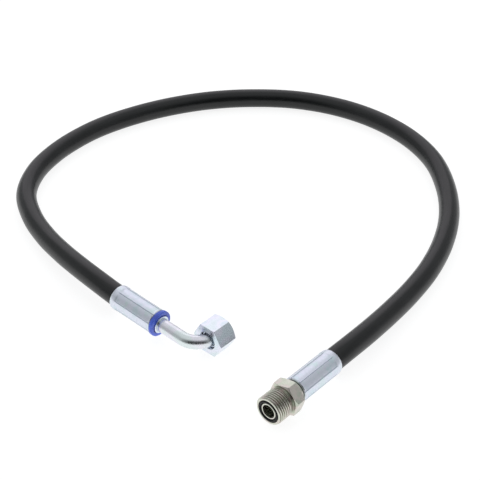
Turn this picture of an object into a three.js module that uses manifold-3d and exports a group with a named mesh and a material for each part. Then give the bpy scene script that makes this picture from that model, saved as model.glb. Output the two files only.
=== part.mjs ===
// Hydraulic hose assembly: a two-braid rubber hose with a crimped 90 degree swivel elbow at one end
// and a crimped threaded male end at the other. Both ends seal on a flat face.
// Millimetres, +Z up, resting on z = 0. The origin is on the resting plane, at the middle of the
// footprint of the two metal ends. The male end points along -Y and the swivel nut along +Y.
import * as THREE from "three";
import { mergeVertices } from "three/addons/utils/BufferGeometryUtils.js";
import Module from "manifold-3d";

const wasm = await Module();
wasm.setup();

// Where the ends lie
const NUT_X = -6; // axis of the swivel nut
const SEAT_Y = 5; // seal face of the elbow, looking along +Y
const MALE_X = 70.8; // axis of the male end
const MALE_FACE_Y = -32.1; // seal face of the male end, looking along -Y
const ELBOW_TILT = THREE.MathUtils.degToRad(3.3); // the elbow leans on the loose nut, hose side up

// Swivel nut, 11/16-16 thread, 22 mm across flats; it rests on one flat
const NUT_FLATS = 22;
const NUT_MOUTH = 4.8; // from the seal face, along the nut's axis
const NUT_BACK = -11.2;
const NUT_SHOULDER = -7.2;
const NUT_THREAD_RADIUS = 7.9; // inner edge of the thread
const NUT_BACK_RADIUS = 6.75;

// Male end, 13/16-16 thread, 22 mm across flats; it rests on one corner of its hexagon
const MALE_FLATS = 22;
const MALE_HEX_TURN = THREE.MathUtils.degToRad(12.5);
const MALE_HEX = [14.4, 22.6]; // start and end of the hexagon, from the seal face
const THREAD_RADIUS = 10.32;
const THREAD_END = 12.2;
const UNDERCUT_RADIUS = 9.2;
const MALE_BORE_RADIUS = 4.8;
const SEAL_GROOVE = { inner: 5.85, outer: 8.3, depth: 1.4 };
const SEAL_RING = { radius: 7.08, section: 0.8, centre: 0.4 };

// Crimped joint, measured along the hose from the front of the ferrule
const FERRULE = { length: 38.5, outer: 9.3, inner: 8.35, lip: 6.5, lipLength: 3 };
const GRIP = { neck: 6.2, collar: 7.2, collarStart: 3.3, collarEnd: 5, tailEnd: 36 };
const TAIL = { radius: 4.05, root: 3.7, bore: 3.1, barbs: 4, pitch: 6.5 };
const HOSE_START = 5.3;
const MALE_GRIP = 26.3; // front of the male end's ferrule, from the seal face
const ELBOW_GRIP = 4.2; // front of the elbow's ferrule, from the front of its insert
const END_GAP = 0.3; // clearance between the faces of neighbouring pieces

// Elbow
const ELBOW_DROP = 21.2; // seal face to ferrule axis
const INSERT_FRONT = 33.1; // nut axis to the front of the insert
const INSERT_RADIUS = 6.5;
const TUBE = { radius: 5, bore: 3.5, bend: 14, seat: 2.1, sleeveSeat: 4.2 };
const SOCKET = { radius: 5.3, insertDepth: 2.4, sleeveDepth: 5 };
const SLEEVE = { radius: 6.4, flange: 7.5, flangeLength: 4.2, length: 8.9 };
const MARKER_RING = { inner: 6.8, outer: 9.6, from: 0.9, to: 3.9 };

// Hose, 16 mm outside and 9.5 mm inside, with its layers from the outside in
const HOSE_RADIUS = 8;
const HOSE_SIDES = 8;
const HOSE_STEPS = 40;
const LAYER_GAP = 0.2;
const LAYERS = [
  { name: "hose_cover", wall: 0.6, material: "coverRubber" },
  { name: "outer_wire_braid", wall: 0.35, material: "braidWire" },
  { name: "braid_separator", wall: 0.2, material: "innerRubber" },
  { name: "inner_wire_braid", wall: 0.35, material: "braidWire" },
  { name: "hose_inner_tube", wall: 0.95, material: "innerRubber" },
];

// Centreline of the hose outside its ferrules: off the elbow, down to the resting plane, round one
// open loop and up to the male end
const LOOP = [
  [-103, -14.2, 15.6], [-127, -10.4, 14.2], [-153, -5, 12], [-181, 3, 9.4], [-209, 14, 8.3],
  [-237, 32, 8], [-256, 58.5, 8], [-265.5, 86.5, 8], [-269, 114, 8], [-268, 142, 8],
  [-261, 173, 8], [-248.5, 205, 8], [-229.5, 237, 8], [-205, 264.5, 8], [-173, 289, 8],
  [-136, 304, 8], [-98, 308.5, 8], [-60, 303, 8], [-26, 288, 8], [4, 263, 8],
  [29, 232, 8], [46.5, 198.5, 8], [58, 164, 8], [64, 132, 8.1], [68, 100, 9.8],
  [70.5, 70, 11.8], [71.3, 47, 12.8],
];

const TURNED_SEGMENTS = 24;
const CHAMFER_SLOPE = Math.tan(THREE.MathUtils.degToRad(30));
const NUT_Z = NUT_FLATS / 2;
const MALE_Z = (MALE_FLATS / Math.sqrt(3)) * Math.cos(Math.PI / 6 - MALE_HEX_TURN);

const metal = (color, roughness) => new THREE.MeshStandardMaterial({ color, roughness, metalness: 1 });
const soft = (color, roughness) => new THREE.MeshStandardMaterial({ color, roughness, metalness: 0 });
const MATERIALS = {
  brightZinc: metal(0xc8d0d8, 0.3),
  warmZinc: metal(0xa09a84, 0.35),
  braidWire: metal(0xb09a60, 0.4),
  coverRubber: soft(0x1b1d1f, 0.55),
  innerRubber: soft(0x101010, 0.7),
  sealRubber: soft(0x0a0a0a, 0.5),
  bluePlastic: soft(0x1c35c4, 0.35),
};

const point = (list) => new THREE.Vector3(...list);

// A geometry with merged corners, no empty triangles and its faces pointing out
function closed(geometry) {
  const bare = geometry.clone();
  bare.deleteAttribute("normal");
  bare.deleteAttribute("uv");
  const merged = mergeVertices(bare, 1e-3);
  const [a, b, c] = [0, 1, 2].map(() => new THREE.Vector3());
  const triangles = [];
  let volume = 0;
  for (let i = 0; i < merged.index.count; i += 3) {
    const corners = [0, 1, 2].map((k) => merged.index.getX(i + k));
    if (new Set(corners).size < 3) continue;
    [a, b, c].forEach((v, k) => v.fromBufferAttribute(merged.attributes.position, corners[k]));
    volume += a.dot(b.clone().cross(c));
    triangles.push(corners);
  }
  merged.setIndex(triangles.flatMap((t) => (volume < 0 ? [t[0], t[2], t[1]] : t)));
  return merged;
}

function solid(geometry) {
  const { attributes, index } = closed(geometry);
  const vertProperties = new Float32Array(attributes.position.array);
  return new wasm.Manifold(
    new wasm.Mesh({ numProp: 3, vertProperties, triVerts: new Uint32Array(index.array) }),
  );
}

function geometryOf(manifold) {
  const mesh = manifold.getMesh();
  const geometry = new THREE.BufferGeometry();
  geometry.setAttribute("position", new THREE.BufferAttribute(mesh.vertProperties, mesh.numProp));
  geometry.setIndex(new THREE.BufferAttribute(mesh.triVerts, 1));
  return geometry;
}

// A turned piece about the local Y axis; the profile lists [radius, y]
function turned(profile, segments = TURNED_SEGMENTS) {
  const loop = [...profile, profile[0]].map(([radius, y]) => new THREE.Vector2(radius, y));
  return new THREE.LatheGeometry(loop, segments);
}

// A hexagonal bar along the local Y axis, its ends turned back at 30 degrees from the given radii
function hexBar(flats, [from, to], [fromRadius, toRadius], turn = 0) {
  const reach = flats / Math.sqrt(3);
  const outline = new THREE.Shape();
  for (let k = 0; k < 6; k += 1) {
    const angle = (k * Math.PI) / 3 - turn;
    outline[k ? "lineTo" : "moveTo"](reach * Math.cos(angle), reach * Math.sin(angle));
  }
  const bar = new THREE.ExtrudeGeometry(outline, { depth: to - from, bevelEnabled: false });
  bar.rotateX(-Math.PI / 2).translate(0, from, 0);
  const wide = reach + 1;
  const envelope = turned([
    [0, from], [fromRadius, from], [wide, from + (wide - fromRadius) * CHAMFER_SLOPE],
    [wide, to - (wide - toRadius) * CHAMFER_SLOPE], [toRadius, to], [0, to],
  ], 48);
  return solid(bar).intersect(solid(envelope));
}

// The stretch of an insert that the ferrule and the hose grip, for a ferrule that starts at grip.
// It runs down the outside to the end of the barbed tail and stops at the bore.
function gripProfile(grip) {
  const outside = [
    [GRIP.neck, grip - END_GAP], [GRIP.neck, grip + GRIP.collarStart],
    [GRIP.collar, grip + GRIP.collarStart], [GRIP.collar, grip + GRIP.collarEnd],
    [TAIL.radius, grip + GRIP.collarEnd],
  ];
  for (let k = 1; k <= TAIL.barbs; k += 1) {
    const y = grip + GRIP.collarEnd + k * TAIL.pitch;
    outside.push([TAIL.radius, y], [TAIL.root, y + 0.4]);
  }
  outside.push([TAIL.root, grip + GRIP.tailEnd], [TAIL.bore, grip + GRIP.tailEnd]);
  return outside;
}

function ferrule() {
  const { length, outer, inner, lip, lipLength } = FERRULE;
  return turned([
    [lip, 0], [outer - 0.5, 0], [outer, 0.6], [outer, length - 2], [outer - 0.5, length],
    [inner, length], [inner, lipLength], [lip, lipLength],
  ]);
}

function elbowInsert() {
  return turned([
    [SOCKET.radius, 0], [INSERT_RADIUS, 0], [INSERT_RADIUS, ELBOW_GRIP - END_GAP],
    ...gripProfile(ELBOW_GRIP), [TAIL.bore, SOCKET.insertDepth], [SOCKET.radius, SOCKET.insertDepth],
  ]);
}

function maleBody() {
  const { inner, outer, depth } = SEAL_GROOVE;
  const [hexStart, hexEnd] = MALE_HEX;
  const threadChamfer = THREAD_RADIUS - 9.4;
  const profile = [
    [inner - 0.25, 0.1], [inner, 0.3], [inner, depth], [outer, depth], [outer, 0], [9.4, 0],
    [THREAD_RADIUS, threadChamfer], [THREAD_RADIUS, THREAD_END - 0.6],
    [UNDERCUT_RADIUS, THREAD_END], [UNDERCUT_RADIUS, hexStart + 1], [8, hexStart + 1],
    [8, MALE_GRIP - END_GAP], ...gripProfile(MALE_GRIP), [TAIL.bore, hexEnd],
    [MALE_BORE_RADIUS, hexEnd - 1.5], [MALE_BORE_RADIUS, 0.1],
  ];
  const hexagon = hexBar(MALE_FLATS, MALE_HEX, [10.7, 11.2], MALE_HEX_TURN);
  const core = turned([[0, 0], [6, 0], [6, hexEnd + 1], [0, hexEnd + 1]]);
  return geometryOf(solid(turned(profile)).add(hexagon.subtract(solid(core))));
}

function sealRing() {
  const { radius, section } = SEAL_RING;
  const round = new THREE.TorusGeometry(radius, section, 8, TURNED_SEGMENTS);
  return round.rotateX(Math.PI / 2).translate(0, SEAL_RING.centre, 0);
}

function sleeve() {
  const { radius, flange, flangeLength, length } = SLEEVE;
  return turned([
    [TUBE.bore, 0], [flange - 0.3, 0], [flange, -0.3], [flange, -flangeLength],
    [radius, -flangeLength], [radius, -length], [SOCKET.radius, -length],
    [SOCKET.radius, SOCKET.sleeveDepth - length], [TUBE.bore, SOCKET.sleeveDepth - length],
  ]);
}

function swivelNut() {
  const bar = hexBar(NUT_FLATS, [NUT_BACK, NUT_MOUTH], [12, 10.7]);
  const mouthRadius = NUT_THREAD_RADIUS + 1.1;
  const hollow = turned([
    [0, NUT_BACK - 1], [NUT_BACK_RADIUS, NUT_BACK - 1], [NUT_BACK_RADIUS, NUT_SHOULDER],
    [NUT_THREAD_RADIUS, NUT_SHOULDER], [NUT_THREAD_RADIUS, NUT_MOUTH - 1.1],
    [mouthRadius, NUT_MOUTH], [mouthRadius, NUT_MOUTH + 1], [0, NUT_MOUTH + 1],
  ]);
  return geometryOf(bar.subtract(solid(hollow)));
}

// A regular polygon with its corners on the radius, one of them straight down
function polygon(PathClass, radius, sides) {
  const path = new PathClass();
  for (let k = 0; k < sides; k += 1) {
    const angle = (k * 2 * Math.PI) / sides;
    path[k ? "lineTo" : "moveTo"](radius * Math.cos(angle), radius * Math.sin(angle));
  }
  path.closePath();
  return path;
}

function tubeAlong(path, steps, outer, inner, sides) {
  const section = polygon(THREE.Shape, outer, sides);
  section.holes.push(polygon(THREE.Path, inner, sides));
  return new THREE.ExtrudeGeometry(section, { steps, extrudePath: path, curveSegments: 1 });
}

// The elbow's centreline: straight out of the insert, a quarter bend and into the sleeve
class ElbowCurve extends THREE.Curve {
  constructor() {
    super();
    this.start = -(INSERT_FRONT + TUBE.seat);
    this.runs = [-TUBE.bend - this.start, (TUBE.bend * Math.PI) / 2];
    this.runs.push(ELBOW_DROP - TUBE.bend - TUBE.sleeveSeat);
  }

  getPoint(t, target = new THREE.Vector3()) {
    const [lead, arc, end] = this.runs;
    const s = t * (lead + arc + end);
    if (s <= lead) return target.set(this.start + s, -ELBOW_DROP, 0);
    const angle = Math.min((s - lead) / TUBE.bend, Math.PI / 2);
    return target.set(
      TUBE.bend * (Math.sin(angle) - 1),
      -ELBOW_DROP + TUBE.bend * (1 - Math.cos(angle)) + Math.max(s - lead - arc, 0),
      0,
    );
  }
}

function mesh(name, geometry, material) {
  const made = new THREE.Mesh(closed(geometry), MATERIALS[material]);
  made.name = name;
  return made;
}

function group(position, ...children) {
  const made = new THREE.Group();
  made.position.copy(position);
  made.add(...children);
  return made;
}

// Elbow end: its own frame has the nut's axis as Y, with the seal face at y = 0
const elbowCrimp = group(
  point([-INSERT_FRONT, -ELBOW_DROP, 0]),
  mesh("elbow_insert", elbowInsert(), "brightZinc"),
  mesh("blue_marker_ring", turned([
    [MARKER_RING.inner, MARKER_RING.from], [MARKER_RING.outer, MARKER_RING.from],
    [MARKER_RING.outer, MARKER_RING.to], [MARKER_RING.inner, MARKER_RING.to],
  ]), "bluePlastic"),
  group(point([0, ELBOW_GRIP, 0]), mesh("elbow_ferrule", ferrule(), "brightZinc")),
);
elbowCrimp.rotation.z = Math.PI / 2;
const elbowEnd = group(
  point([NUT_X, SEAT_Y, NUT_Z]),
  elbowCrimp,
  mesh("elbow_tube", tubeAlong(new ElbowCurve(), 16, TUBE.radius, TUBE.bore, 12), "brightZinc"),
  mesh("sealing_sleeve", sleeve(), "brightZinc"),
);
elbowEnd.rotation.y = ELBOW_TILT;

const nut = group(point([NUT_X, SEAT_Y, NUT_Z]), mesh("swivel_nut", swivelNut(), "brightZinc"));

// Male end: its own frame has y = 0 at the seal face and +Y towards the hose
const maleEnd = group(
  point([MALE_X, MALE_FACE_Y, MALE_Z]),
  mesh("male_body", maleBody(), "warmZinc"),
  mesh("face_seal_ring", sealRing(), "sealRubber"),
  group(point([0, MALE_GRIP, 0]), mesh("male_ferrule", ferrule(), "brightZinc")),
);

// The hose runs straight through each ferrule and for a short way out of it
function hosePath() {
  elbowEnd.updateMatrixWorld(true);
  maleEnd.updateMatrixWorld(true);
  const along = [HOSE_START, FERRULE.length / 2, FERRULE.length];
  const fromElbow = along.map((y) => elbowCrimp.localToWorld(point([0, ELBOW_GRIP + y, 0])));
  const toMale = along.map((y) => maleEnd.localToWorld(point([0, MALE_GRIP + y, 0]))).reverse();
  return new THREE.CatmullRomCurve3([...fromElbow, ...LOOP.map(point), ...toMale]);
}

const path = hosePath();
const layers = [];
let outer = HOSE_RADIUS;
for (const { name, wall, material } of LAYERS) {
  const tube = tubeAlong(path, HOSE_STEPS, outer, outer - wall, HOSE_SIDES);
  layers.push(mesh(name, tube, material));
  outer -= wall + LAYER_GAP;
}

const assembly = new THREE.Group();
assembly.add(elbowEnd, nut, maleEnd, ...layers);

export default assembly;
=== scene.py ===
# Hydraulic hose assembly: a black rubber hose in an open loop, with a crimped swivel elbow at one
# end and a crimped threaded male end at the other. Sizes are in millimetres; the route of the hose,
# the camera and the lights are in metres. A turned piece has its axis along its local Y.
import math

import bmesh
import bpy
from mathutils import Matrix, Vector, noise


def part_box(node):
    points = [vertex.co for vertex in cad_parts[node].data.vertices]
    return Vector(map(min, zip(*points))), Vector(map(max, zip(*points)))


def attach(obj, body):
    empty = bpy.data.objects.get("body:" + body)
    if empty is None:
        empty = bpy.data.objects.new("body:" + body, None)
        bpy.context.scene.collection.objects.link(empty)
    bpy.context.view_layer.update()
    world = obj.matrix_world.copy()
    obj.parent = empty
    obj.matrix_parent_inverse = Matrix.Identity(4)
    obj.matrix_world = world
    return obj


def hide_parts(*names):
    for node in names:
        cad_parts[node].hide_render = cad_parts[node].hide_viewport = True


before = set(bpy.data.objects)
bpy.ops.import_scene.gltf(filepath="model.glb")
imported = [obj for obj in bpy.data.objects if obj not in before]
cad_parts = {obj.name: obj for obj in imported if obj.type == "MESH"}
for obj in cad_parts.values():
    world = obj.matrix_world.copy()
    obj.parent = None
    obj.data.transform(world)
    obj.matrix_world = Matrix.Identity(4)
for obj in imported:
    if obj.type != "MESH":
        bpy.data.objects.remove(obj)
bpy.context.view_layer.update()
scene = bpy.context.scene

MM = 0.001
RIGID = "hose_and_ends"
NUT = "nut"

# ---------------------------------------------------------------- camera
CAMERA_AT = Vector((0.4583, -0.4940, 0.5848))
CAMERA_LOOK = Vector((-0.538, 0.604, -0.588))
CAMERA_LENS = 97.5
CAMERA_SENSOR = 36


def make_camera():
    data = bpy.data.cameras.new("camera")
    data.lens = CAMERA_LENS
    data.sensor_width = CAMERA_SENSOR
    camera = bpy.data.objects.new("camera", data)
    camera.location = CAMERA_AT
    camera.rotation_euler = CAMERA_LOOK.to_track_quat("-Z", "Y").to_euler()
    scene.collection.objects.link(camera)
    scene.camera = camera


make_camera()

# ---------------------------------------------------------------- sizes shared by several pieces
ELBOW_TILT = math.radians(3.3)
ELBOW_DROP = 21.2  # seal face to ferrule axis
INSERT_FRONT = 33.1  # nut axis to the front of the elbow's insert
ELBOW_GRIP = 4.2  # front of the ferrule, from the front of the insert
MALE_GRIP = 26.3  # front of the ferrule, from the seal face
FERRULE_LENGTH = 38.5
FERRULE = {"outer": 9.3, "inner": 8.35, "lip": 6.5, "lip_length": 3.0}
# The dies' marks: how far out the middle of each is and the radius of its arc, half of the land
# beside it and the slope up to that, and where the marks start and end along the ferrule
CRIMP = {
    "dies": 8, "middle": 8.87, "arc": 10.8, "land": math.radians(1.4), "rise": math.radians(2.0),
    "from": 0.8, "to": 34.5, "fade_in": 0.8, "fade_out": 2.2,
}
HOSE_START = 5.3  # start of the hose, from the front of the ferrule
END_GAP = 0.3
# Degrees from the middle of the raised land between two dies
LAND_ANGLES = (-5.0, -4.1, -3.4, -1.4, 0, 1.4, 3.4, 4.1, 5.0)
FLAT_STEPS = 8  # across the flat between two lands
DIE_COLUMNS = FLAT_STEPS - 1 + len(LAND_ANGLES)
LAND_MIDDLE = (FLAT_STEPS - 1 + len(LAND_ANGLES) // 2) / DIE_COLUMNS
THREAD_PITCH = 1.74  # the male end's in the photograph, at this size; the nut's is out of view
MALE_SIZE = {
    "flats": 22.0, "turn": math.radians(12.5), "hex_start": 14.4, "hex_end": 22.6,
    "front_turned": 10.7, "back_turned": 11.2, "thread": 10.32, "thread_root": 9.36,
    "thread_end": 12.2, "nose": 9.4, "undercut": 9.2, "bore": 4.8, "neck": 8.0,
}


# ---------------------------------------------------------------- places, taken from the frame
def box_middle(node):
    low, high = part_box(node)
    return (low + high) / 2


def elbow_place():
    """The elbow's frame: the nut's axis is Y and the seal face is at y = 0."""
    nut = box_middle("swivel_nut")
    seat = Vector((nut.x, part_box("sealing_sleeve")[1].y, nut.z))
    return Matrix.Translation(seat) @ Matrix.Rotation(ELBOW_TILT, 4, "Y") @ Matrix.Scale(MM, 4)


def male_place():
    """The male end's frame: y = 0 at the seal face and +Y towards the hose."""
    axis = box_middle("male_ferrule")
    face = Vector((axis.x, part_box("male_body")[0].y, axis.z))
    return Matrix.Translation(face) @ Matrix.Scale(MM, 4)


ELBOW = elbow_place()
ELBOW_CRIMP = (
    ELBOW
    @ Matrix.Translation((-INSERT_FRONT, -ELBOW_DROP, 0))
    @ Matrix.Rotation(math.pi / 2, 4, "Z")
)
MALE = male_place()
NUT_PLACE = Matrix.Translation(ELBOW.translation) @ Matrix.Scale(MM, 4)


def along(place, y):
    return place @ Matrix.Translation((0, y, 0))


# ---------------------------------------------------------------- route of the hose
LOOP = [
    (-0.103, -0.0142, 0.0156), (-0.127, -0.0104, 0.0142), (-0.153, -0.005, 0.012),
    (-0.181, 0.003, 0.0094), (-0.209, 0.014, 0.0083), (-0.237, 0.032, 0.008),
    (-0.256, 0.0585, 0.008), (-0.2655, 0.0865, 0.008), (-0.269, 0.114, 0.008),
    (-0.268, 0.142, 0.008), (-0.261, 0.173, 0.008), (-0.2485, 0.205, 0.008),
    (-0.2295, 0.237, 0.008), (-0.205, 0.2645, 0.008), (-0.173, 0.289, 0.008),
    (-0.136, 0.304, 0.008), (-0.098, 0.3085, 0.008), (-0.060, 0.303, 0.008),
    (-0.026, 0.288, 0.008), (0.004, 0.263, 0.008), (0.029, 0.232, 0.008),
    (0.0465, 0.1985, 0.008), (0.058, 0.164, 0.008), (0.064, 0.132, 0.0081),
    (0.068, 0.100, 0.0098), (0.0705, 0.070, 0.0118), (0.0713, 0.047, 0.0128),
]


def route():
    """The points of the hose's centreline, from inside one ferrule to inside the other."""
    held = [HOSE_START, FERRULE_LENGTH / 2, FERRULE_LENGTH]
    first = [ELBOW_CRIMP @ Vector((0, ELBOW_GRIP + y, 0)) for y in held]
    last = [MALE @ Vector((0, MALE_GRIP + y, 0)) for y in reversed(held)]
    return [*first, *[Vector(p) for p in LOOP], *last]


def smooth_line(points, steps):
    """A centripetal Catmull-Rom curve through the points, with so many steps between each two."""
    line = []
    padded = [2 * points[0] - points[1], *points, 2 * points[-1] - points[-2]]
    for p0, p1, p2, p3 in zip(padded, padded[1:], padded[2:], padded[3:]):
        d0, d1, d2 = [math.sqrt((b - a).length) for a, b in ((p0, p1), (p1, p2), (p2, p3))]
        out = ((p1 - p0) / d0 - (p2 - p0) / (d0 + d1) + (p2 - p1) / d1) * d1
        into = ((p2 - p1) / d1 - (p3 - p1) / (d1 + d2) + (p3 - p2) / d2) * d1
        for k in range(steps):
            t = k / steps
            line.append(
                p1 + out * t
                + (3 * (p2 - p1) - 2 * out - into) * t * t
                + (2 * (p1 - p2) + out + into) * t ** 3
            )
    line.append(points[-1].copy())
    return line


def frames_along(line):
    """A centre and two cross directions at each point of a line, without twist."""
    found = []
    tangent = (line[1] - line[0]).normalized()
    side = tangent.cross(Vector((0, 0, 1))).normalized()
    for k, centre in enumerate(line):
        ahead = (line[min(k + 1, len(line) - 1)] - line[max(k - 1, 0)]).normalized()
        side = (side - ahead * side.dot(ahead)).normalized()
        found.append((centre, side, ahead.cross(side)))
    return found


# ---------------------------------------------------------------- mesh making
def closed_mesh(name, rings, place=None):
    """A closed body from rings of points: each ring joins the next, and the last joins the first.
    Its UV map runs once round each ring, and along the rings in millimetres."""
    mesh = bmesh.new()
    matrix = place or Matrix.Identity(4)
    rows = [[mesh.verts.new(matrix @ Vector(p)) for p in ring] for ring in rings]
    uv = mesh.loops.layers.uv.new("wrap")
    count = len(rings[0])
    travelled = 0.0
    for k, row in enumerate(rows):
        after = rows[(k + 1) % len(rows)]
        step = (after[0].co - row[0].co).length / MM
        for j in range(count):
            face = mesh.faces.new(
                (row[j], row[(j + 1) % count], after[(j + 1) % count], after[j])
            )
            face.smooth = True
            places = ((j, 0), (j + 1, 0), (j + 1, 1), (j, 1))
            for loop, (u, v) in zip(face.loops, places):
                loop[uv].uv = (u / count, travelled + v * step)
        travelled += step
    bmesh.ops.remove_doubles(mesh, verts=mesh.verts, dist=1e-7)
    bmesh.ops.recalc_face_normals(mesh, faces=mesh.faces)
    data = bpy.data.meshes.new(name)
    mesh.to_mesh(data)
    mesh.free()
    piece = bpy.data.objects.new(name, data)
    scene.collection.objects.link(piece)
    return piece


def soften(loop, segments=3):
    """A closed outline of (radius, y, rounding) with its corners rounded off."""
    rounded = []
    for k, (r, y, rounding) in enumerate(loop):
        if not rounding:
            rounded.append((r, y))
            continue
        corner = Vector((r, y))
        sides = [Vector(loop[(k + d) % len(loop)][:2]) - corner for d in (-1, 1)]
        reach = [min(rounding, 0.45 * side.length) for side in sides]
        start, end = [
            corner + side.normalized() * far for side, far in zip(sides, reach)
        ]
        for step in range(segments + 1):
            t = step / segments
            rounded.append(tuple(start * (1 - t) ** 2 + corner * 2 * t * (1 - t) + end * t * t))
    return rounded


def turned(name, outline, place, angles):
    """A piece made round the local Y axis. outline(angle) is its section at that angle."""
    columns = [soften(outline(angle)) for angle in angles]
    rings = [
        [
            (r * math.cos(angle), y, r * math.sin(angle))
            for angle, (r, y) in zip(angles, row)
        ]
        for row in zip(*columns)
    ]
    piece = closed_mesh(name, rings, place)
    even_shading(piece)
    return piece


def even_shading(piece):
    """Wide faces shade flat, and the narrow ones at their edges carry the turn."""
    weighted = piece.modifiers.new("even_shading", "WEIGHTED_NORMAL")
    weighted.keep_sharp = True


def steady(radius):
    """The same radius all along a tube and all round it."""
    return lambda _k, _angle: radius


def swept(name, line, sides, outer, inner):
    """A tube along a line in metres. outer(k, angle) is its outside radius and inner its bore's."""
    angles = [2 * math.pi * j / sides for j in range(sides)]

    def ring(k, radius):
        centre, side, up = stations[k]
        return [
            centre + (side * math.cos(a) + up * math.sin(a)) * radius(k, a) * MM for a in angles
        ]

    stations = frames_along(line)
    rings = [ring(k, outer) for k in range(len(line))]
    rings += [ring(k, steady(inner)) for k in reversed(range(len(line)))]
    return closed_mesh(name, rings)


def finish_piece(piece, body, slot, material, *nodes):
    piece.data.materials.append(material)
    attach(piece, body)
    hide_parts(*nodes)


def round_angles(count):
    return [2 * math.pi * k / count for k in range(count)]


HEX_DEGREES = 60
HEX_CORNER = math.radians(HEX_DEGREES)
CORNER_ANGLES = (-2.0, -1.2, -0.6, 0, 0.6, 1.2, 2.0)  # degrees from a hexagon's corner
HEX_FLAT_STEPS = 20


def hex_angles(turn):
    """Angles round a hexagon, closer together at its corners."""
    near = [math.radians(a) for a in CORNER_ANGLES]
    first = CORNER_ANGLES[-1]
    flat = HEX_DEGREES - 2 * first
    between = [
        math.radians(first + flat * k / HEX_FLAT_STEPS) for k in range(1, HEX_FLAT_STEPS)
    ]
    return [turn + corner * HEX_CORNER + a for corner in range(6) for a in near + between]


def hex_radius(angle, turn, flats, rounding=0.3):
    """How far a hexagon with rounded corners reaches at an angle."""
    off = (angle - turn + HEX_CORNER / 2) % HEX_CORNER - HEX_CORNER / 2
    centre = (flats / 2 - rounding) / math.cos(HEX_CORNER / 2)
    if abs(centre * math.sin(off)) < rounding * math.sin(HEX_CORNER / 2):
        return centre * math.cos(off) + math.sqrt(
            rounding ** 2 - (centre * math.sin(off)) ** 2
        )
    return flats / 2 / math.cos(HEX_CORNER / 2 - abs(off))


THREAD_ROWS = 12  # to a pitch
THREAD_ROOT, THREAD_FLANK = 0.2, 0.66  # shares of half a pitch; the crest has the rest


def thread_height(angle, y):
    """A right-handed thread, from 0 at its root to 1 at its crest."""
    phase = (y / THREAD_PITCH + angle / (2 * math.pi)) % 1
    return min(max((abs(2 * phase - 1) - THREAD_ROOT) / THREAD_FLANK, 0), 1)


def thread_rows(start, end):
    count = math.ceil(abs(end - start) / THREAD_PITCH * THREAD_ROWS)
    return [start + (end - start) * k / count for k in range(count + 1)]


# ---------------------------------------------------------------- materials
def shade(name):
    """A new material, its shader, and functions that add a node and feed one of its inputs."""
    made = bpy.data.materials.new(name)
    made.use_nodes = True
    tree = made.node_tree
    shader = tree.nodes["Principled BSDF"]

    def node(kind, inputs=None, **settings):
        added = tree.nodes.new("ShaderNode" + kind)
        for key, value in settings.items():
            setattr(added, key, value)
        for key, value in (inputs or {}).items():
            socket = added.inputs[key]
            if isinstance(value, bpy.types.NodeSocket):
                tree.links.new(value, socket)
            else:
                socket.default_value = value
        return added

    def feed(socket, value):
        tree.links.new(value, shader.inputs[socket])

    return made, shader, node, feed


def wrap_coordinates(node, around, lengthwise):
    """The piece's own coordinates: how often they repeat round it, and per millimetre along it."""
    uv = node("UVMap", uv_map="wrap")
    split = node("SeparateXYZ", {0: uv.outputs[0]})
    turn = node("Math", {0: split.outputs["X"], 1: 2 * math.pi}, operation="MULTIPLY")
    parts = []
    for operation in ("COSINE", "SINE"):
        wave = node("Math", {0: turn.outputs[0]}, operation=operation)
        parts.append(
            node("Math", {0: wave.outputs[0], 1: around}, operation="MULTIPLY").outputs[0]
        )
    run = node("Math", {0: split.outputs["Y"], 1: lengthwise}, operation="MULTIPLY")
    joined = node("CombineXYZ", {0: parts[0], 1: parts[1], 2: run.outputs[0]})
    return joined.outputs[0]


def object_noise(node, scale, detail=3.0, roughness=0.55, coordinates=None):
    if coordinates is None:
        coordinates = node("TexCoord").outputs["Object"]
    return node(
        "TexNoise",
        {"Vector": coordinates, "Scale": scale, "Detail": detail, "Roughness": roughness},
    ).outputs["Fac"]


def ramp(node, factor, stops):
    made = node("ValToRGB", {0: factor})
    band = made.color_ramp
    band.interpolation = "EASE"
    while len(band.elements) < len(stops):
        band.elements.new(0.5)
    for element, (at, colour) in zip(band.elements, stops):
        element.position = at
        element.color = (*colour, 1)
    return made.outputs["Color"]


def spread(node, factor, low, high, clip=(0.3, 0.7)):
    return node(
        "MapRange",
        {"Value": factor, "From Min": clip[0], "From Max": clip[1], "To Min": low, "To Max": high},
    ).outputs["Result"]


def coloured(node, factor, below, above, blend="MIX"):
    """Two colours mixed by a factor, each a socket or an (r, g, b, 1)."""
    return node(
        "Mix", {"Factor": factor, "A": below, "B": above}, data_type="RGBA", blend_type=blend
    ).outputs["Result"]


def add(node, *values):
    total = values[0]
    for value in values[1:]:
        total = node("Math", {0: total, 1: value}, operation="ADD").outputs[0]
    return total


def times(node, value, factor):
    return node("Math", {0: value, 1: factor}, operation="MULTIPLY").outputs[0]


def bump(node, feed, layers):
    """Height layers of (height, depth in millimetres, strength), one over the other."""
    normal = None
    for height, depth, strength in layers:
        inputs = {"Height": height, "Distance": depth * MM, "Strength": strength}
        if normal is not None:
            inputs["Normal"] = normal
        normal = node("Bump", inputs).outputs["Normal"]
    feed("Normal", normal)


EDGE = {"From Min": 0.505, "From Max": 0.56}  # pointiness where wear starts, and where it is full


def edge_share(node):
    """How far a spot is on a raised edge, where the finish is rubbed bright."""
    pointiness = node("NewGeometry").outputs["Pointiness"]
    return node("MapRange", {"Value": pointiness, **EDGE}).outputs["Result"]


def fall(node, value, full, none):
    """From 1 where a value is at full to 0 where it is at none."""
    return node(
        "MapRange",
        {"Value": value, "From Min": full, "From Max": none, "To Min": 1.0, "To Max": 0.0},
    ).outputs["Result"]


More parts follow.
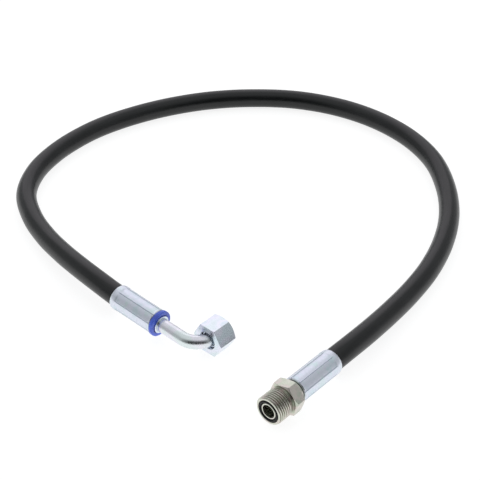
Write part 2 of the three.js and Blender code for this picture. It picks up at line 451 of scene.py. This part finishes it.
# Noise scales, per metre: the plating's clouds, patches and flecks, its waves and its finest grain
CLOUDS, PATCHES, FLECKS, WAVES, FINEST = 95, 420, 2600, 300, 1800
PATCH_SHARE = 0.38  # of the mottling, the rest being clouds
MOTTLE_FROM, MOTTLE_RANGE = 0.36, 0.28  # where the first tint lies in the noise, and the last


def zinc(name, tints, roughness, rubbed, grain, marks, painted_shade=None):
    """Zinc plate over turned or pressed steel. tints are the passivation's colours, rubbed is the
    bare colour of its raised edges, and grain is how coarse its surface is, from 0 to 1. marks are
    the tool's: how often they repeat round the piece, per millimetre along it, and their depth.
    The last argument, if given, is a mask function and a dark colour multiplied in by it: painted
    shade in creases and recesses."""
    made, shader, node, feed = shade(name)
    shader.inputs["Metallic"].default_value = 1.0
    cloud = object_noise(node, CLOUDS, 3 * grain)
    patch = object_noise(node, PATCHES, 5 * grain, 0.6)
    share = PATCH_SHARE * grain
    mixed = add(node, times(node, cloud, 1 - share), times(node, patch, share))
    last = len(tints) - 1
    stops = [(MOTTLE_FROM + MOTTLE_RANGE * k / last, tint) for k, tint in enumerate(tints)]
    plate = ramp(node, mixed, stops)
    fleck = object_noise(node, FLECKS, 2, 0.7)
    fleck = spread(node, fleck, 1.0 - 0.1 * grain, 1.0, (0.35, 0.55))
    flecked = coloured(node, 1.0, plate, fleck, "MULTIPLY")
    colour = coloured(node, edge_share(node), flecked, (*rubbed, 1))
    # Painted shade: the mask multiplies a dark colour in where shade falls.
    if painted_shade:
        shade_mask, shade_colour = painted_shade
        colour = coloured(node, shade_mask(node), colour, (*shade_colour, 1), "MULTIPLY")
    feed("Base Color", colour)
    layers = [(object_noise(node, WAVES, 0), 0.12 * grain, 0.35 * grain)]
    for around, lengthwise, depth in marks:
        run = wrap_coordinates(node, around, lengthwise)
        layers.append((object_noise(node, 1.0, 2, 0.6, run), depth, 0.35))
    low, high = roughness
    feed("Roughness", add(
        node, spread(node, patch, low, high), spread(node, layers[-1][0], -0.03, 0.04),
    ))
    bump(node, feed, [*layers, (object_noise(node, FINEST, 3, 0.6), 0.003, 0.2 * grain)])
    return made


RUBBER_NOISE = {"cloud": 40, "fine": 2400}
SCUFFS = (6.0, 0.06)  # round it, and per millimetre along it


def rubber(name, dark, light, roughness, grain=0.02, shine=0.42):
    """Rubber between two colours. grain is its fine texture's depth in millimetres, and shine is
    how strongly it reflects, where 0.5 is plain plastic."""
    made, shader, node, feed = shade(name)
    shader.inputs["Specular IOR Level"].default_value = shine
    cloud = object_noise(node, RUBBER_NOISE["cloud"], 4, 0.6)
    scuff = object_noise(node, 1.0, 4, 0.65, wrap_coordinates(node, *SCUFFS))
    feed("Base Color", ramp(node, add(node, times(node, cloud, 0.5), times(node, scuff, 0.5)), [
        (0.38, dark), (0.62, light),
    ]))
    low, high = roughness
    feed("Roughness", spread(node, scuff, low, high))
    fine = object_noise(node, RUBBER_NOISE["fine"], 2, 0.6)
    bump(node, feed, [(fine, grain, 0.35), (cloud, 0.12, 0.2)])
    return made


BRAID = {"spindles": 12.0, "lay": 0.36, "wires": 8}  # round it; per millimetre; in a strand
BRASS_NOISE = {"cloud": 300, "gloss": 900}
DARK_BRASS, LIGHT_BRASS = (0.36, 0.27, 0.12), (0.60, 0.48, 0.24)


def strand_wave(node, split, hand, count):
    """A sine that winds round and along a braid, count times as often as its strands."""
    turned_by = times(node, split.outputs["X"], BRAID["spindles"] * count * hand)
    runs = times(node, split.outputs["Y"], BRAID["lay"] * count)
    phase = times(node, add(node, turned_by, runs), 2 * math.pi)
    return node("Math", {0: phase}, operation="SINE").outputs[0]


def braided(name):
    """Brass-coated wire, braided in two directions at the neutral angle."""
    made, shader, node, feed = shade(name)
    shader.inputs["Metallic"].default_value = 1.0
    uv = node("UVMap", uv_map="wrap")
    split = node("SeparateXYZ", {0: uv.outputs[0]})
    strands = [strand_wave(node, split, hand, 1) for hand in (-1, 1)]
    over = times(node, *strands)
    wires = [strand_wave(node, split, hand, BRAID["wires"]) for hand in (-1, 1)]
    which = node("Math", {0: over, 1: 0.0}, operation="GREATER_THAN").outputs[0]
    wire = node("Mix", {"Factor": which, "A": wires[0], "B": wires[1]}).outputs["Result"]
    cloud = object_noise(node, BRASS_NOISE["cloud"], 3)
    feed("Base Color", ramp(node, cloud, [(0.35, DARK_BRASS), (0.65, LIGHT_BRASS)]))
    feed("Roughness", spread(node, object_noise(node, BRASS_NOISE["gloss"], 3), 0.28, 0.5))
    bump(node, feed, [(over, 0.2, 0.8), (wire, 0.1, 0.8)])
    return made


PLASTIC_NOISE = {"cloud": 260, "gloss": 900, "grain": 1600}
RUBBED_BLUE = (0.20, 0.30, 0.85)


def plastic(name, dark, light):
    """Moulded plastic between two colours, with a thin gloss and rubbed edges."""
    made, shader, node, feed = shade(name)
    shader.inputs["Coat Weight"].default_value = 0.25
    shader.inputs["Coat Roughness"].default_value = 0.25
    cloud = object_noise(node, PLASTIC_NOISE["cloud"], 3)
    base = ramp(node, cloud, [(0.35, dark), (0.65, light)])
    rubbed = times(node, edge_share(node), 0.35)
    feed("Base Color", coloured(node, rubbed, base, (*RUBBED_BLUE, 1)))
    feed("Roughness", spread(node, object_noise(node, PLASTIC_NOISE["gloss"], 3), 0.28, 0.42))
    fine = object_noise(node, PLASTIC_NOISE["grain"], 3, 0.6)
    bump(node, feed, [(fine, 0.012, 0.3), (cloud, 0.05, 0.15)])
    return made


TURNED = [(1.2, 5.0, 0.006), (2.5, 0.4, 0.003)]  # fine rings, and broader ones
PRESSED = [(14.0, 0.25, 0.010), (2.0, 0.8, 0.008)]  # scuffs lengthwise from the crimping dies
DRAWN = [(9.0, 0.05, 0.002), (4.0, 0.03, 0.002)]  # lines along a drawn bar or tube


LAND_REACH = (0.03, 0.13)  # from its middle: full, and none, in shares of a die
LAND_FADES = (35.0, 37.5)  # millimetres along the outline: full, and none


# Painted shade: a thin dark line along each land, standing in for the shade at the crimp creases.
def land_shade_share(node):
    """How near a spot on a ferrule is to a land between two of the dies' marks. The dies share out
    the ferrule's columns evenly, and LAND_MIDDLE is where the land is among one die's."""
    uv = node("UVMap", uv_map="wrap")
    split = node("SeparateXYZ", {0: uv.outputs[0]})
    column = add(node, times(node, split.outputs["X"], CRIMP["dies"]), 0.5 - LAND_MIDDLE)
    place = node("Math", {0: column}, operation="FRACT").outputs[0]
    off = node("Math", {0: place, 1: 0.5}, operation="SUBTRACT").outputs[0]
    near = fall(node, node("Math", {0: off}, operation="ABSOLUTE").outputs[0], *LAND_REACH)
    return times(node, near, fall(node, split.outputs["Y"], *LAND_FADES))


ROOT_CLEAR = 0.2  # under the crests
FACE_CLEAR = (0.9, 0.4)  # behind the seal face: full, and none
HEX_CLEAR = 0.8  # past the hexagon's front
BORE_CLEAR = (0.8, 0.3)  # outside the bore: full, and none


# Painted shade: darkens the thread roots and the undercut, where shade falls.
def root_shade_share(node):
    """How deep a spot on the male end is in its thread or in the undercut after it."""
    place = node("TexCoord").outputs["Object"]
    axis = tuple(-MALE.translation)
    offset = node("VectorMath", {0: place, 1: axis}, operation="ADD").outputs[0]
    across = node("VectorMath", {0: offset, 1: (1, 0, 1)}, operation="MULTIPLY").outputs[0]
    radius = node("VectorMath", {0: across}, operation="LENGTH").outputs["Value"]
    run = node("SeparateXYZ", {0: offset}).outputs["Y"]
    size = MALE_SIZE
    share = fall(node, radius, size["thread_root"] * MM, (size["thread"] - ROOT_CLEAR) * MM)
    for value, full, none in (
        (run, *FACE_CLEAR),
        (run, size["thread_end"], size["hex_start"] + HEX_CLEAR),
        (radius, *[size["bore"] + clear for clear in BORE_CLEAR]),
    ):
        share = times(node, share, fall(node, value, full * MM, none * MM))
    return share


COVER_RUBBER = rubber("cover_rubber", (0.003, 0.004, 0.0045), (0.008, 0.0095, 0.010), (0.27, 0.38))
INNER_RUBBER = rubber("inner_rubber", (0.008, 0.008, 0.008), (0.016, 0.016, 0.016), (0.55, 0.75))
SEAL_RUBBER = rubber(
    "seal_rubber", (0.003, 0.003, 0.003), (0.006, 0.006, 0.007), (0.35, 0.45), 0.008, 0.2,
)
BRAID_WIRE = braided("braid_wire")
# Its last argument paints shade along the crimp lands.
FERRULE_ZINC = zinc(
    "ferrule_zinc",
    [(0.66, 0.77, 0.83), (0.76, 0.79, 0.89), (0.67, 0.79, 0.81)],
    (0.33, 0.44), (0.84, 0.87, 0.91), 0.8, PRESSED, (land_shade_share, (0.50, 0.54, 0.58)),
)
TUBE_ZINC = zinc(
    "tube_zinc",
    [(0.72, 0.76, 0.80), (0.80, 0.79, 0.86), (0.72, 0.80, 0.80)],
    (0.24, 0.33), (0.86, 0.87, 0.90), 0.15, DRAWN,
)
NUT_ZINC = zinc(
    "nut_zinc",
    [(0.66, 0.77, 0.83), (0.78, 0.80, 0.91), (0.70, 0.80, 0.83)],
    (0.22, 0.31), (0.86, 0.88, 0.93), 0.1, DRAWN,
)
# Its last argument paints shade into the thread roots and the undercut.
WARM_ZINC = zinc(
    "warm_zinc",
    [(0.50, 0.55, 0.46), (0.66, 0.60, 0.56), (0.58, 0.63, 0.52), (0.72, 0.72, 0.65)],
    (0.26, 0.36), (0.70, 0.68, 0.62), 0.4, TURNED, (root_shade_share, (0.25, 0.20, 0.18)),
)
BLUE_PLASTIC = plastic("blue_plastic", (0.026, 0.075, 0.62), (0.055, 0.14, 0.86))

# ---------------------------------------------------------------- hose
HOSE_RADIUS = 8.0
ROUTE_STEPS = 16
LAYER_GAP = 0.2
LAYERS = [
    ("outer_wire_braid", 0.35, "braid_wire", BRAID_WIRE),
    ("braid_separator", 0.2, "inner_rubber", INNER_RUBBER),
    ("inner_wire_braid", 0.35, "braid_wire", BRAID_WIRE),
    ("hose_inner_tube", 0.95, "inner_rubber", INNER_RUBBER),
]
COVER_WALL = 0.6
COVER_SIDES, LAYER_SIDES = 64, 40
UNEVEN, UNEVEN_SCALE = 0.03, 70  # the cover's depth of unevenness, and how often to a metre


def make_hose():
    line = smooth_line(route(), ROUTE_STEPS)
    stations = frames_along(line)

    def cover_radius(k, angle):
        """Nearly round, with the slight unevenness of a hose that was wrapped and cured."""
        centre, side, up = stations[k]
        spot = centre + (side * math.cos(angle) + up * math.sin(angle)) * HOSE_RADIUS * MM
        return HOSE_RADIUS - UNEVEN * (1 + noise.noise(spot * UNEVEN_SCALE))

    bore = HOSE_RADIUS - COVER_WALL
    cover = swept("hose_cover_rubber", line, COVER_SIDES, cover_radius, bore)
    finish_piece(cover, RIGID, "cover_rubber", COVER_RUBBER, "hose_cover")
    outer = bore - LAYER_GAP
    coarse = smooth_line(route(), ROUTE_STEPS // 2)
    for name, wall, slot, material in LAYERS:
        layer = swept(name + "_layer", coarse, LAYER_SIDES, steady(outer), outer - wall)
        finish_piece(layer, RIGID, slot, material, name)
        outer -= wall + LAYER_GAP


make_hose()

# ---------------------------------------------------------------- crimped ferrules
FERRULE_STATIONS = [1.2, 1.6, 2.4, 5, 10, 15, 20, 25, 30, 32.3, 33.0, 33.6, 34.2, 34.8, 35.5]
FERRULE_RIM = 0.55  # how far its rounded rims draw in


def crimped_radius(angle, y):
    """Die marks: shallow flats with a thin raised land between each two."""
    sector = 2 * math.pi / CRIMP["dies"]
    off = abs((angle + sector / 2) % sector - sector / 2)
    back = CRIMP["arc"] - CRIMP["middle"]
    flat = -back * math.cos(off) + math.sqrt(CRIMP["arc"] ** 2 - (back * math.sin(off)) ** 2)
    edge = sector / 2 - CRIMP["land"]
    rise = min(max((off - edge) / CRIMP["rise"] + 1, 0), 1)
    pressed = flat + (FERRULE["outer"] - flat) * rise
    entering = min(max((y - CRIMP["from"]) / CRIMP["fade_in"], 0), 1)
    leaving = min(max((CRIMP["to"] - y) / CRIMP["fade_out"], 0), 1)
    fade = entering * leaving
    fade = fade * fade * (3 - 2 * fade)
    return FERRULE["outer"] + (pressed - FERRULE["outer"]) * fade


def ferrule_angles():
    """Angles round a ferrule, closer together at each die's land."""
    sector = 360 / CRIMP["dies"]
    land = [sector / 2 + a for a in LAND_ANGLES]
    start, end = -sector / 2 + LAND_ANGLES[-1], sector / 2 + LAND_ANGLES[0]
    flat = [start + (end - start) * k / FLAT_STEPS for k in range(1, FLAT_STEPS)]
    return [math.radians(sector * d + a) for d in range(CRIMP["dies"]) for a in flat + land]


def ferrule_outline(angle):
    outer, inner = FERRULE["outer"], FERRULE["inner"]
    return [
        (FERRULE["lip"], 0, 0.2), (outer - FERRULE_RIM, 0, 0.3),
        (crimped_radius(angle, 0.7), 0.7, 0.2),
        *[(crimped_radius(angle, y), y, 0) for y in FERRULE_STATIONS],
        (outer, 36.3, 0), (outer - 0.06, 37.0, 0), (outer - 0.22, 37.8, 0),
        (outer - FERRULE_RIM, FERRULE_LENGTH, 0.25), (inner, FERRULE_LENGTH, 0.1),
        (inner, FERRULE["lip_length"], 0.1), (FERRULE["lip"], FERRULE["lip_length"], 0.1),
    ]


def make_ferrules():
    for node, place in (
        ("elbow_ferrule", along(ELBOW_CRIMP, ELBOW_GRIP)),
        ("male_ferrule", along(MALE, MALE_GRIP)),
    ):
        piece = turned(node + "_crimped", ferrule_outline, place, ferrule_angles())
        finish_piece(piece, RIGID, "bright_zinc", FERRULE_ZINC, node)


make_ferrules()

# ---------------------------------------------------------------- the stretch that a ferrule grips
NECK_RADIUS = 6.2
COLLAR = {"radius": 7.2, "start": 3.3, "end": 5.0}
TAIL = {"radius": 4.05, "root": 3.7, "bore": 3.1, "barbs": 4, "pitch": 6.5, "end": 36.0}


def grip_outline(grip):
    """Neck, locking collar and barbed tail of an insert whose ferrule starts at grip."""
    outline = [
        (NECK_RADIUS, grip - END_GAP, 0.2), (NECK_RADIUS, grip + COLLAR["start"], 0.2),
        (COLLAR["radius"], grip + COLLAR["start"], 0.2),
        (COLLAR["radius"], grip + COLLAR["end"], 0.2),
        (TAIL["radius"], grip + COLLAR["end"], 0.2),
    ]
    for k in range(1, TAIL["barbs"] + 1):
        y = grip + COLLAR["end"] + k * TAIL["pitch"]
        outline += [(TAIL["radius"], y, 0.1), (TAIL["root"], y + 0.4, 0.1)]
    outline += [(TAIL["root"], grip + TAIL["end"], 0.3), (TAIL["bore"], grip + TAIL["end"], 0.2)]
    return outline


# ---------------------------------------------------------------- elbow end
INSERT = {"radius": 6.5, "socket": 5.3, "fillet": 5.03, "depth": 2.4}
MARKER = {"inner": 6.8, "outer": 9.6, "from": 0.9, "to": 3.9}
TUBE = {"radius": 5.0, "bore": 3.5, "bend": 14.0, "seat": 2.1, "sleeve_seat": 4.2}
SLEEVE = {"radius": 6.4, "flange": 7.5, "flange_length": 4.2, "length": 8.9, "depth": 5.0}
ROUND = round_angles(96)
TUBE_SIDES = 64
TUBE_STEPS = {"straight": 12, "bend": 40, "end": 5}


def insert_outline(_angle):
    return [
        (INSERT["fillet"], 0.1, 0), (INSERT["socket"], 0, 0.2), (INSERT["radius"], 0, 0.35),
        (INSERT["radius"], ELBOW_GRIP - END_GAP, 0.2), *grip_outline(ELBOW_GRIP),
        (TAIL["bore"], INSERT["depth"], 0.2), (INSERT["socket"], INSERT["depth"], 0.1),
        (INSERT["socket"], 0.6, 0.1), (INSERT["fillet"], 0.4, 0),
    ]


def marker_outline(_angle):
    return [
        (MARKER["inner"], MARKER["from"], 0.35), (MARKER["outer"], MARKER["from"], 0.9),
        (MARKER["outer"], MARKER["to"], 0.5), (MARKER["inner"], MARKER["to"], 0.2),
    ]


def sleeve_outline(_angle):
    flange, radius, length = SLEEVE["flange"], SLEEVE["radius"], SLEEVE["length"]
    return [
        (TUBE["bore"], 0, 0.2), (flange - 0.3, 0, 0.1), (flange, -0.3, 0.1),
        (flange, -SLEEVE["flange_length"], 0.3), (radius, -SLEEVE["flange_length"], 0.4),
        (radius, -length, 0.35), (INSERT["socket"], -length, 0.15),
        (INSERT["socket"], SLEEVE["depth"] - length, 0.1),
        (TUBE["bore"], SLEEVE["depth"] - length, 0.1),
    ]


def elbow_line():
    """The tube's centreline in the elbow's frame: out of the insert, a quarter bend, and in."""
    bend, start = TUBE["bend"], -(INSERT_FRONT + TUBE["seat"])
    steps = TUBE_STEPS
    line = [
        Vector((start + (-bend - start) * k / steps["straight"], -ELBOW_DROP, 0))
        for k in range(steps["straight"])
    ]
    turns = [math.pi / 2 * k / steps["bend"] for k in range(steps["bend"] + 1)]
    line += [
        Vector((bend * (math.sin(t) - 1), -ELBOW_DROP + bend * (1 - math.cos(t)), 0))
        for t in turns
    ]
    top, end = -ELBOW_DROP + bend, -TUBE["sleeve_seat"]
    line += [
        Vector((0, top + (end - top) * k / steps["end"], 0)) for k in range(1, steps["end"] + 1)
    ]
    return [ELBOW @ p for p in line]


def make_elbow():
    insert = turned("elbow_insert_turned", insert_outline, ELBOW_CRIMP, ROUND)
    finish_piece(insert, RIGID, "bright_zinc", NUT_ZINC, "elbow_insert")
    marker = turned("blue_marker_ring_moulded", marker_outline, ELBOW_CRIMP, ROUND)
    finish_piece(marker, RIGID, "blue_plastic", BLUE_PLASTIC, "blue_marker_ring")
    sleeve = turned("sealing_sleeve_turned", sleeve_outline, ELBOW, ROUND)
    finish_piece(sleeve, RIGID, "bright_zinc", NUT_ZINC, "sealing_sleeve")
    radius, bore = TUBE["radius"], TUBE["bore"]
    tube = swept("elbow_tube_bent", elbow_line(), TUBE_SIDES, steady(radius), bore)
    even_shading(tube)
    finish_piece(tube, RIGID, "bright_zinc", TUBE_ZINC, "elbow_tube")


make_elbow()

# ---------------------------------------------------------------- swivel nut
NUT_SIZE = {
    "flats": 22.0, "mouth": 4.8, "back": -11.2, "shoulder": -7.2, "hole": 6.75,
    "minor": 7.9, "major": 8.75, "mouth_radius": 9.0, "back_turned": 12.0, "mouth_turned": 10.7,
    "thread_from": 0.3, "thread_relief": 1.6,
}
CHAMFER = math.tan(math.radians(30))
EDGE_BREAK = 0.15


def chamfer_at(reach, turned_to):
    """The face's outer radius and the chamfer's length where a hexagon reaches so far."""
    face = min(turned_to, reach - EDGE_BREAK)
    return face, (reach - face) * CHAMFER


def nut_outline(angle):
    size = NUT_SIZE
    reach = hex_radius(angle, 0, size["flats"])
    back_face, back_cut = chamfer_at(reach, size["back_turned"])
    mouth_face, mouth_cut = chamfer_at(reach, size["mouth_turned"])
    depth = size["major"] - size["minor"]
    thread_start = size["mouth"] - size["thread_from"]
    relief = size["shoulder"] + size["thread_relief"]
    threads = []
    for y in thread_rows(thread_start, relief):
        cut = size["minor"] + depth * (1 - thread_height(angle, y))
        cone = size["mouth_radius"] - (thread_start - y)
        threads.append((max(cut, cone), y, 0))
    return [
        (size["hole"], size["back"], 0.3), (back_face, size["back"], 0.1),
        (reach, size["back"] + back_cut, 0.12), (reach, size["mouth"] - mouth_cut, 0.12),
        (mouth_face, size["mouth"], 0.12), (size["mouth_radius"] + 0.25, size["mouth"], 0.12),
        *threads,
        (size["major"] + 0.05, relief - 0.1, 0), (size["major"] + 0.05, size["shoulder"], 0.2),
        (size["hole"], size["shoulder"], 0.2),
    ]


def make_nut():
    nut = turned("swivel_nut_threaded", nut_outline, NUT_PLACE, hex_angles(0))
    finish_piece(nut, NUT, "bright_zinc", NUT_ZINC, "swivel_nut")


make_nut()

# ---------------------------------------------------------------- male end
GROOVE = {"inner": 5.85, "outer": 8.3, "depth": 1.4}
SEAL = {"radius": 7.08, "section": 0.8, "centre": 0.4, "sides": 28}
THREAD_START = 0.25
RUN_OUT = 1.2  # how steeply the last turn of the thread falls to the undercut


def male_outline(angle):
    size = MALE_SIZE
    reach = hex_radius(angle, size["turn"], size["flats"])
    front_face, front_cut = chamfer_at(reach, size["front_turned"])
    back_face, back_cut = chamfer_at(reach, size["back_turned"])
    threads = []
    depth = size["thread"] - size["thread_root"]
    for y in thread_rows(THREAD_START, size["thread_end"]):
        ridge = size["thread_root"] + depth * thread_height(angle, y)
        lead_in = size["nose"] + y
        run_out = size["undercut"] + (size["thread_end"] - y) * RUN_OUT
        threads.append((min(ridge, lead_in, run_out), y, 0))
    start, end = size["hex_start"], size["hex_end"]
    return [
        (GROOVE["inner"] - 0.25, 0.1, 0.1), (GROOVE["inner"], 0.3, 0.1),
        (GROOVE["inner"], GROOVE["depth"], 0.2), (GROOVE["outer"], GROOVE["depth"], 0.2),
        (GROOVE["outer"], 0, 0.1), (size["nose"] + 0.1, 0, 0.15),
        *threads,
        (size["undercut"], size["thread_end"] + 0.2, 0), (size["undercut"], start, 0.35),
        (front_face, start, 0.15), (reach, start + front_cut, 0.12),
        (reach, end - back_cut, 0.12), (back_face, end, 0.12),
        (size["neck"], end, 0.3), (size["neck"], MALE_GRIP - END_GAP, 0.2),
        *grip_outline(MALE_GRIP),
        (TAIL["bore"], end, 0.3), (size["bore"], end - 1.5, 0.3), (size["bore"], 0.1, 0.3),
    ]


def seal_outline(_angle):
    radius, section, centre = SEAL["radius"], SEAL["section"], SEAL["centre"]
    return [
        (radius + section * math.cos(t), centre + section * math.sin(t), 0)
        for t in round_angles(SEAL["sides"])
    ]


def make_male_end():
    body = turned("male_body_threaded", male_outline, MALE, hex_angles(MALE_SIZE["turn"]))
    finish_piece(body, RIGID, "warm_zinc", WARM_ZINC, "male_body")
    seal = turned("face_seal_ring_rubber", seal_outline, MALE, ROUND)
    finish_piece(seal, RIGID, "seal_rubber", SEAL_RUBBER, "face_seal_ring")


make_male_end()

# ---------------------------------------------------------------- floor, light and sky
FLOOR_HALF = 4.0
FLOOR_CELLS = 8
FLOOR_DROP = 0.0003  # under the hose
FLOOR_GREY, FLOOR_ROUGHNESS, FLOOR_SHINE = 0.32, 0.9, 0.1
FLOOR_GLOW = 0.86
WALL, CEILING = 0.50, 0.80
CEILING_BAND = (0.55, 0.95)  # height of the direction where wall ends, and where ceiling starts
DARK_SIDE = (0.62, -0.70, 0.20)
DARK_BAND = (0.45, 0.92)  # nearness to that direction where the dark starts, and where it is full
DARKEST = 0.08
SKY = (0.98, 1.0, 1.02)
KEY_AT, KEY_AIM, KEY_SIZE = (-1.25, 1.15, 1.05), (-0.05, 0.1, 0), (1.9, 1.5)
KEY_RADIANCE, KEY_COLOUR = 0.62, (1.0, 0.93, 1.0)


def make_floor():
    mesh = bmesh.new()
    bmesh.ops.create_grid(
        mesh, x_segments=FLOOR_CELLS, y_segments=FLOOR_CELLS, size=FLOOR_HALF
    )
    data = bpy.data.meshes.new("floor")
    mesh.to_mesh(data)
    mesh.free()
    floor = bpy.data.objects.new("floor", data)
    floor.location.z = -FLOOR_DROP
    scene.collection.objects.link(floor)
    made, shader, _node, _feed = shade("floor_paper")
    shader.inputs["Base Color"].default_value = (FLOOR_GREY, FLOOR_GREY, FLOOR_GREY, 1)
    shader.inputs["Roughness"].default_value = FLOOR_ROUGHNESS
    shader.inputs["Specular IOR Level"].default_value = FLOOR_SHINE
    shader.inputs["Emission Color"].default_value = (1, 1, 1, 1)
    shader.inputs["Emission Strength"].default_value = FLOOR_GLOW
    data.materials.append(made)


def softbox(name, at, aim, size, radiance, colour):
    data = bpy.data.lights.new(name, "AREA")
    data.shape = "RECTANGLE"
    data.size, data.size_y = size
    data.energy = radiance * math.pi * size[0] * size[1]
    data.color = colour
    lamp = bpy.data.objects.new(name, data)
    lamp.location = at
    lamp.rotation_euler = (Vector(aim) - Vector(at)).to_track_quat("-Z", "Y").to_euler()
    scene.collection.objects.link(lamp)


def make_studio():
    """A grey room with a pale ceiling, darker on the side that the camera was set up on."""
    world = bpy.data.worlds.new("studio")
    scene.world = world
    world.use_nodes = True
    tree = world.node_tree

    def towards(direction, start, end, low, high):
        dot = tree.nodes.new("ShaderNodeVectorMath")
        dot.operation = "DOT_PRODUCT"
        dot.inputs[1].default_value = Vector(direction).normalized()
        tree.links.new(coordinates.outputs["Generated"], dot.inputs[0])
        band = tree.nodes.new("ShaderNodeMapRange")
        band.interpolation_type = "SMOOTHSTEP"
        tree.links.new(dot.outputs["Value"], band.inputs["Value"])
        limits = {"From Min": start, "From Max": end, "To Min": low, "To Max": high}
        for key, value in limits.items():
            band.inputs[key].default_value = value
        return band.outputs["Result"]

    coordinates = tree.nodes.new("ShaderNodeTexCoord")
    ceiling = towards((0, 0, 1), *CEILING_BAND, WALL, CEILING)
    dark = towards(DARK_SIDE, *DARK_BAND, 1.0, DARKEST)
    level = tree.nodes.new("ShaderNodeMath")
    level.operation = "MULTIPLY"
    tree.links.new(ceiling, level.inputs[0])
    tree.links.new(dark, level.inputs[1])
    tree.links.new(level.outputs[0], tree.nodes["Background"].inputs["Strength"])
    tree.nodes["Background"].inputs["Color"].default_value = (*SKY, 1)


make_floor()
softbox("key", KEY_AT, KEY_AIM, KEY_SIZE, KEY_RADIANCE, KEY_COLOUR)
make_studio()
scene.view_settings.view_transform = "Standard"
